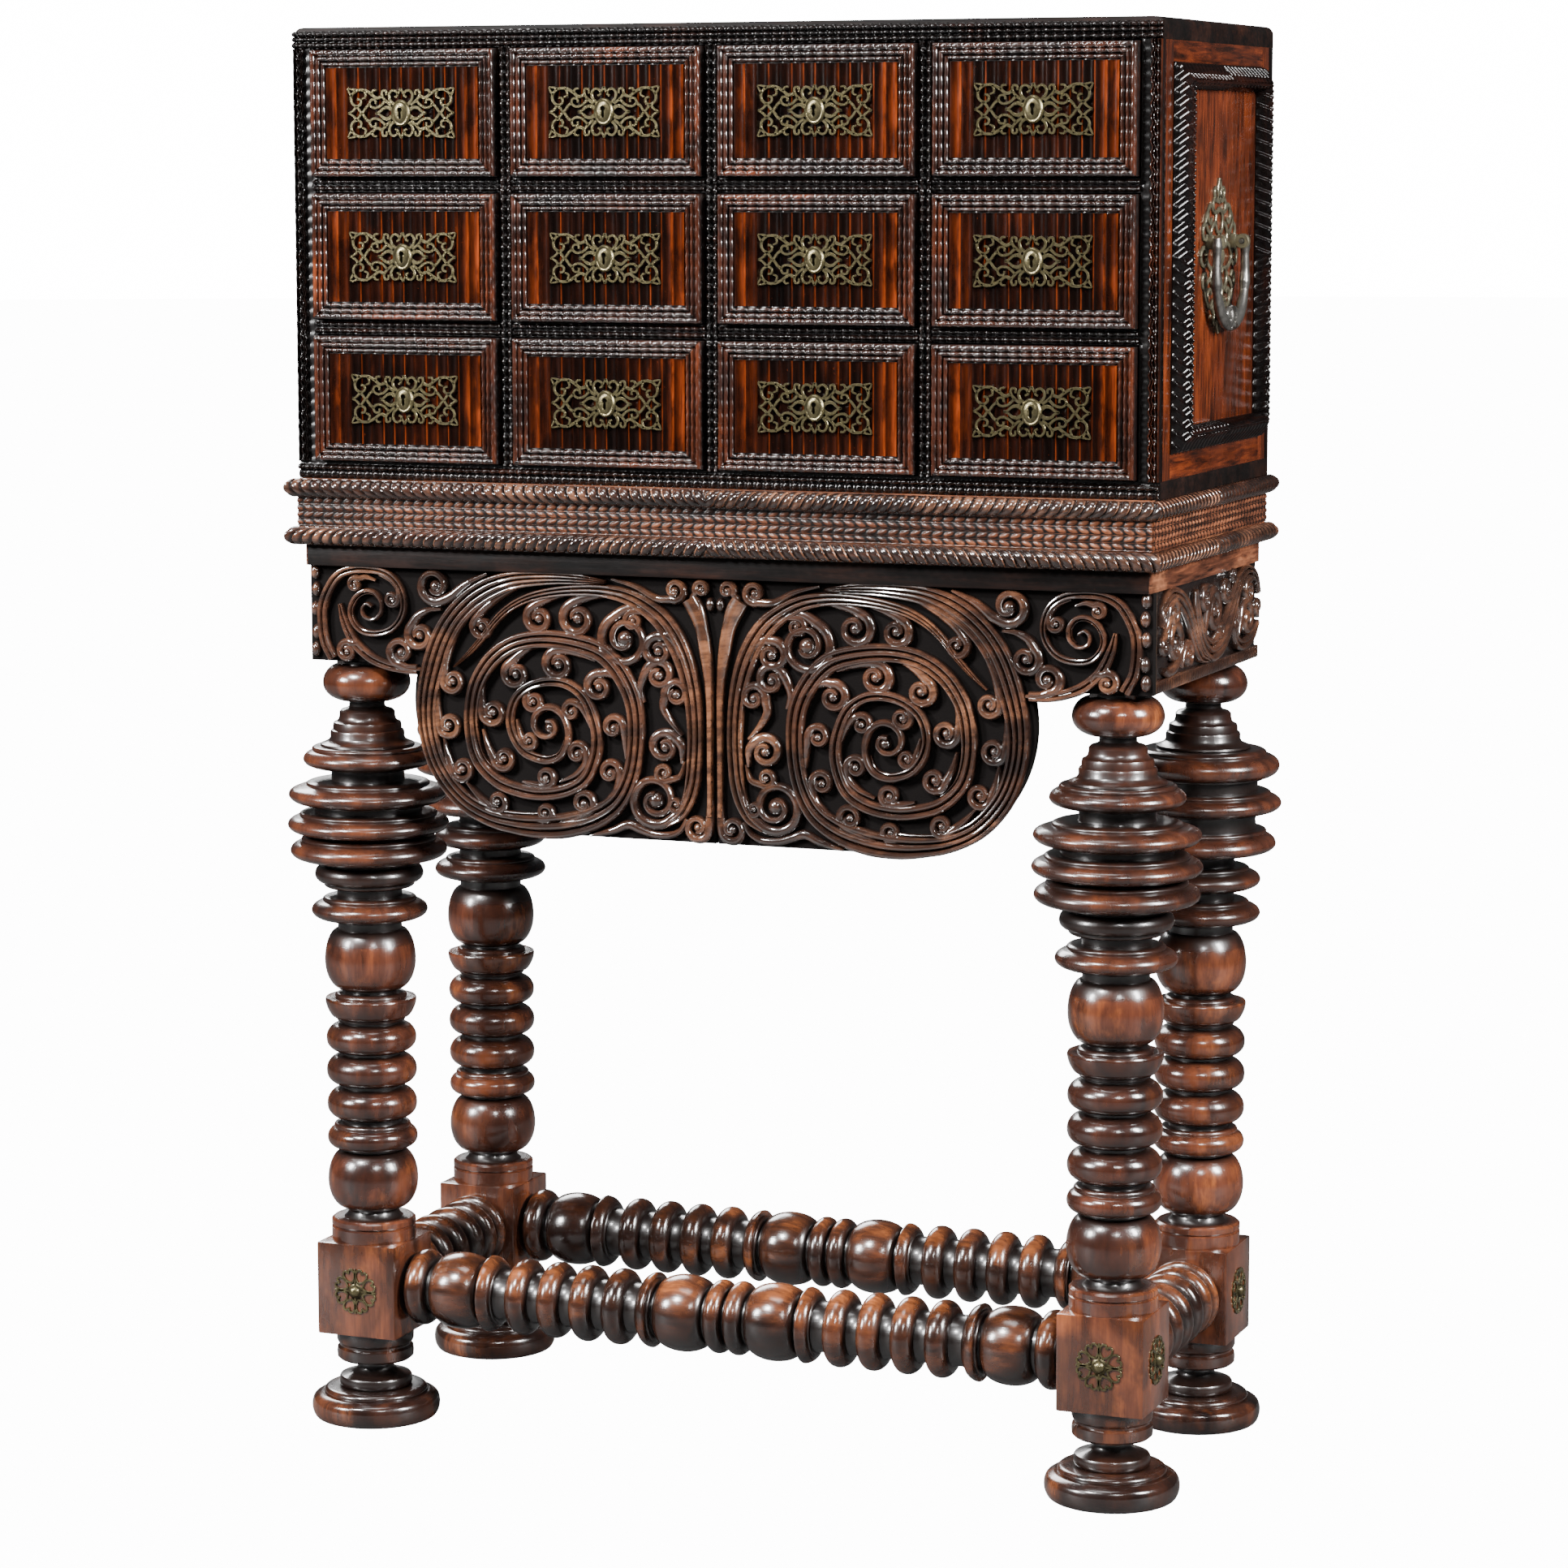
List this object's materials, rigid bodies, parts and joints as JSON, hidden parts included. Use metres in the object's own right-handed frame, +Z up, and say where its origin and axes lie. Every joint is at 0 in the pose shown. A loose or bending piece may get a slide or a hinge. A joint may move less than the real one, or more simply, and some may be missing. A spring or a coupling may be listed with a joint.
{
  "type": "vargueno",
  "caption": "Spanish-style table cabinet with ripple-moulded drawers and pierced locks, on a stand with disc-turned legs, rope plinth and a carved spiral apron.",
  "frame": {"origin": "on the floor, under the middle of the stand's four feet", "axes": "+Z up from the feet to the cabinet's top, +X to the viewer's right, +Y to the back"},
  "size_m": [0.9843, 0.4616, 1.454],
  "materials": {
    "dark_wood": "waxed dark rosewood",
    "drawer_wood": "waxed rosewood",
    "back_wood": "plain oiled board",
    "brass": "aged, pierced and chased",
    "bail_metal": "worn cast metal"
  },
  "bodies": {
    "cabinet_and_stand": {"cabinet_top": "dark_wood", "cabinet_bottom": "dark_wood", "cabinet_side_left": "dark_wood", "cabinet_side_right": "dark_wood", "cabinet_back": "back_wood", "cabinet_dividers": "dark_wood", "cabinet_front_mouldings": "dark_wood", "side_frame_left": "dark_wood", "side_frame_right": "dark_wood", "handle_plate_left": "brass", "handle_plate_right": "brass", "plinth_band": "dark_wood", "plinth_ropes": "dark_wood", "stand_rails": "dark_wood", "apron_front": "dark_wood", "apron_left": "dark_wood", "apron_right": "dark_wood", "leg_front_left": "dark_wood", "leg_front_right": "dark_wood", "leg_back_left": "dark_wood", "leg_back_right": "dark_wood", "foot_front_left": "dark_wood", "foot_front_right": "dark_wood", "foot_back_left": "dark_wood", "foot_back_right": "dark_wood", "stretcher_front": "dark_wood", "stretcher_back": "dark_wood", "stretcher_left": "dark_wood", "stretcher_right": "dark_wood", "block_rosettes": "brass"},
    "drawer_r1c1": {"drawer_r1c1": "drawer_wood", "lock_r1c1": "brass"},
    "drawer_r1c2": {"drawer_r1c2": "drawer_wood", "lock_r1c2": "brass"},
    "drawer_r1c3": {"drawer_r1c3": "drawer_wood", "lock_r1c3": "brass"},
    "drawer_r1c4": {"drawer_r1c4": "drawer_wood", "lock_r1c4": "brass"},
    "drawer_r2c1": {"drawer_r2c1": "drawer_wood", "lock_r2c1": "brass"},
    "drawer_r2c2": {"drawer_r2c2": "drawer_wood", "lock_r2c2": "brass"},
    "drawer_r2c3": {"drawer_r2c3": "drawer_wood", "lock_r2c3": "brass"},
    "drawer_r2c4": {"drawer_r2c4": "drawer_wood", "lock_r2c4": "brass"},
    "drawer_r3c1": {"drawer_r3c1": "drawer_wood", "lock_r3c1": "brass"},
    "drawer_r3c2": {"drawer_r3c2": "drawer_wood", "lock_r3c2": "brass"},
    "drawer_r3c3": {"drawer_r3c3": "drawer_wood", "lock_r3c3": "brass"},
    "drawer_r3c4": {"drawer_r3c4": "drawer_wood", "lock_r3c4": "brass"},
    "handle_bail_left": {"handle_bail_left": "bail_metal"},
    "handle_bail_right": {"handle_bail_right": "bail_metal"}
  },
  "joints": [
    {"name": "drawer_r1c1_slide", "type": "slide", "parent": "cabinet_and_stand", "child": "drawer_r1c1", "axis": [0, -1, 0], "range_m": [0, 0.28]},
    {"name": "drawer_r1c2_slide", "type": "slide", "parent": "cabinet_and_stand", "child": "drawer_r1c2", "axis": [0, -1, 0], "range_m": [0, 0.28]},
    {"name": "drawer_r1c3_slide", "type": "slide", "parent": "cabinet_and_stand", "child": "drawer_r1c3", "axis": [0, -1, 0], "range_m": [0, 0.28]},
    {"name": "drawer_r1c4_slide", "type": "slide", "parent": "cabinet_and_stand", "child": "drawer_r1c4", "axis": [0, -1, 0], "range_m": [0, 0.28]},
    {"name": "drawer_r2c1_slide", "type": "slide", "parent": "cabinet_and_stand", "child": "drawer_r2c1", "axis": [0, -1, 0], "range_m": [0, 0.28]},
    {"name": "drawer_r2c2_slide", "type": "slide", "parent": "cabinet_and_stand", "child": "drawer_r2c2", "axis": [0, -1, 0], "range_m": [0, 0.28]},
    {"name": "drawer_r2c3_slide", "type": "slide", "parent": "cabinet_and_stand", "child": "drawer_r2c3", "axis": [0, -1, 0], "range_m": [0, 0.28]},
    {"name": "drawer_r2c4_slide", "type": "slide", "parent": "cabinet_and_stand", "child": "drawer_r2c4", "axis": [0, -1, 0], "range_m": [0, 0.28]},
    {"name": "drawer_r3c1_slide", "type": "slide", "parent": "cabinet_and_stand", "child": "drawer_r3c1", "axis": [0, -1, 0], "range_m": [0, 0.28]},
    {"name": "drawer_r3c2_slide", "type": "slide", "parent": "cabinet_and_stand", "child": "drawer_r3c2", "axis": [0, -1, 0], "range_m": [0, 0.28]},
    {"name": "drawer_r3c3_slide", "type": "slide", "parent": "cabinet_and_stand", "child": "drawer_r3c3", "axis": [0, -1, 0], "range_m": [0, 0.28]},
    {"name": "drawer_r3c4_slide", "type": "slide", "parent": "cabinet_and_stand", "child": "drawer_r3c4", "axis": [0, -1, 0], "range_m": [0, 0.28]},
    {"name": "handle_bail_left_swing", "type": "hinge", "parent": "cabinet_and_stand", "child": "handle_bail_left", "pos_m": [-0.474, 0, 1.2395], "axis": [0, 1, 0], "range_deg": [0, 95]},
    {"name": "handle_bail_right_swing", "type": "hinge", "parent": "cabinet_and_stand", "child": "handle_bail_right", "pos_m": [0.474, 0, 1.2395], "axis": [0, -1, 0], "range_deg": [0, 95]}
  ]
}
